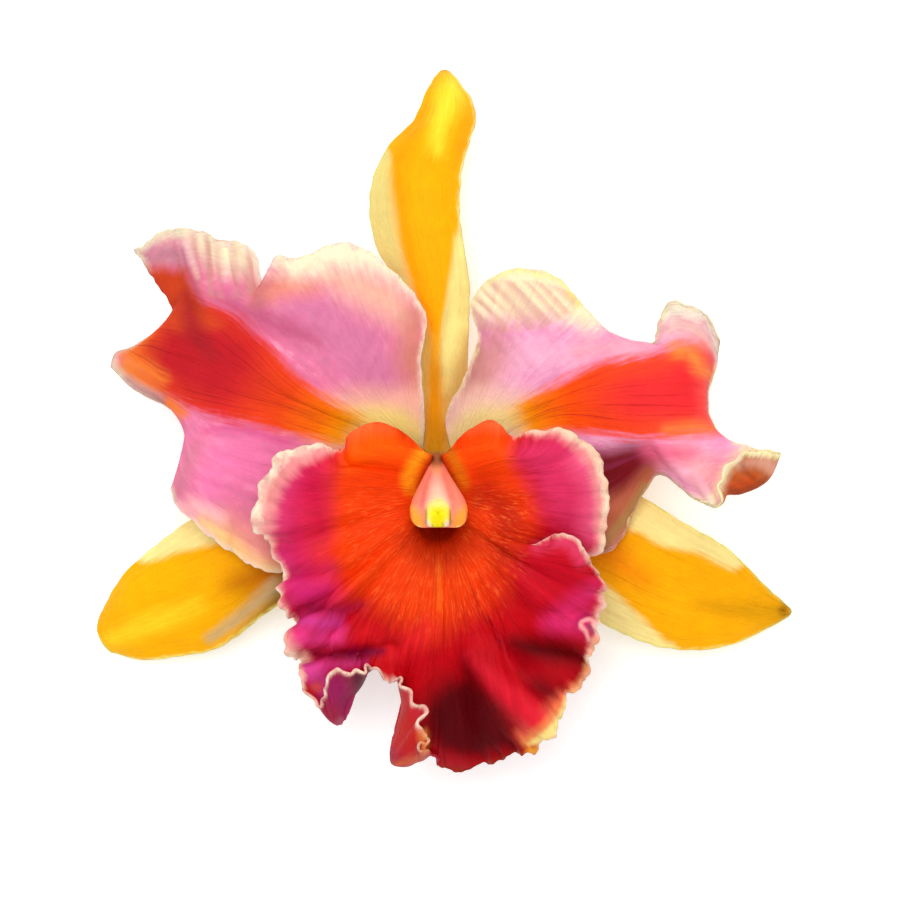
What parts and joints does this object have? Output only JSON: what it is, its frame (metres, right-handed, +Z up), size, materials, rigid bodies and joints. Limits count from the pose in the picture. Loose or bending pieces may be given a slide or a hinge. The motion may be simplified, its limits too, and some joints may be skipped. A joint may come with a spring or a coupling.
{
  "type": "cattleya orchid flower",
  "caption": "Cattleya orchid flower as picked, lying face up: sepals, ruffled petals, a frilled lip round its column, and a cut stalk.",
  "frame": {"origin": "on the surface that the flower lies on, under the middle of its outline", "axes": "+Z up and out of the flower's face, +Y towards the tip of the dorsal sepal, +X to the right of a viewer who faces the flower"},
  "size_m": [0.1402, 0.1413, 0.0478],
  "materials": {
    "sepal": "soft waxy",
    "petal": "soft velvet",
    "lip": "soft velvet",
    "column": "waxy",
    "anther_cap": "waxy",
    "stalk": "waxy"
  },
  "bodies": {
    "root": {"dorsal_sepal": "sepal", "left_sepal": "sepal", "right_sepal": "sepal", "left_petal": "petal", "right_petal": "petal", "lip": "lip", "column": "column", "anther_cap": "anther_cap", "ovary_stalk": "stalk"}
  },
  "joints": []
}
